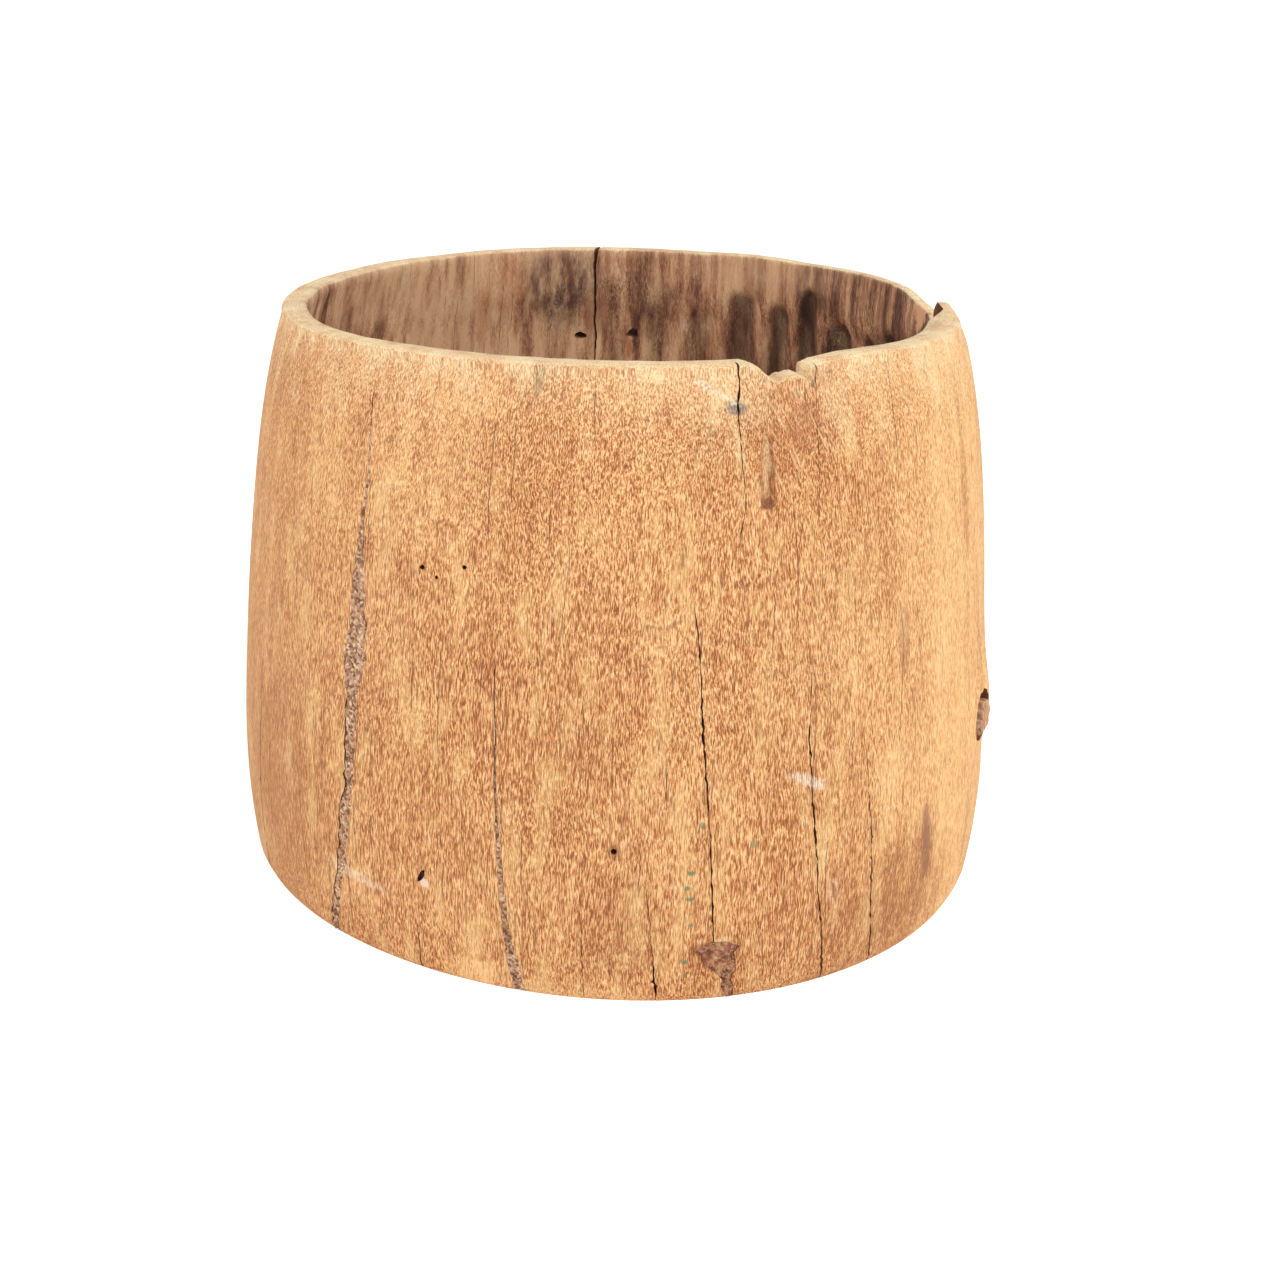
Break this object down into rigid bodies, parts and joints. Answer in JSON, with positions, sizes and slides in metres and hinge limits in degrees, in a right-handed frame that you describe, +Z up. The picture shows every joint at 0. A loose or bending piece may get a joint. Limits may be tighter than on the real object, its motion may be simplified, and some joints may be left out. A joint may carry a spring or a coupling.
{
  "type": "flower pot",
  "caption": "Barrel-shaped flower pot hollowed from a length of tree trunk, with a worn thin rim, filled drying checks and a nailed board floor set above the foot.",
  "frame": {"origin": "centre of the foot, on the surface that the pot stands on", "axes": "+Z up through the mouth, -Y towards the front with the notch in the rim to the right of its middle, +X to the right, where the wall is split at the rim"},
  "size_m": [0.4676, 0.4681, 0.3466],
  "materials": {
    "trunk_wood": "sanded, weathered, matt",
    "floor_wood": "rough sawn, soil-stained",
    "nail_iron": "rusted",
    "crack_filler": "dull, gritty",
    "knot_wood": "weathered"
  },
  "bodies": {
    "root": {"hollow_trunk": "trunk_wood", "floor_board_front": "floor_wood", "floor_board_middle": "floor_wood", "floor_board_back": "floor_wood", "floor_nails": "nail_iron", "crack_filler_left": "crack_filler", "crack_filler_middle": "crack_filler", "foot_crack_patch": "crack_filler", "dead_knot": "knot_wood"}
  },
  "joints": []
}
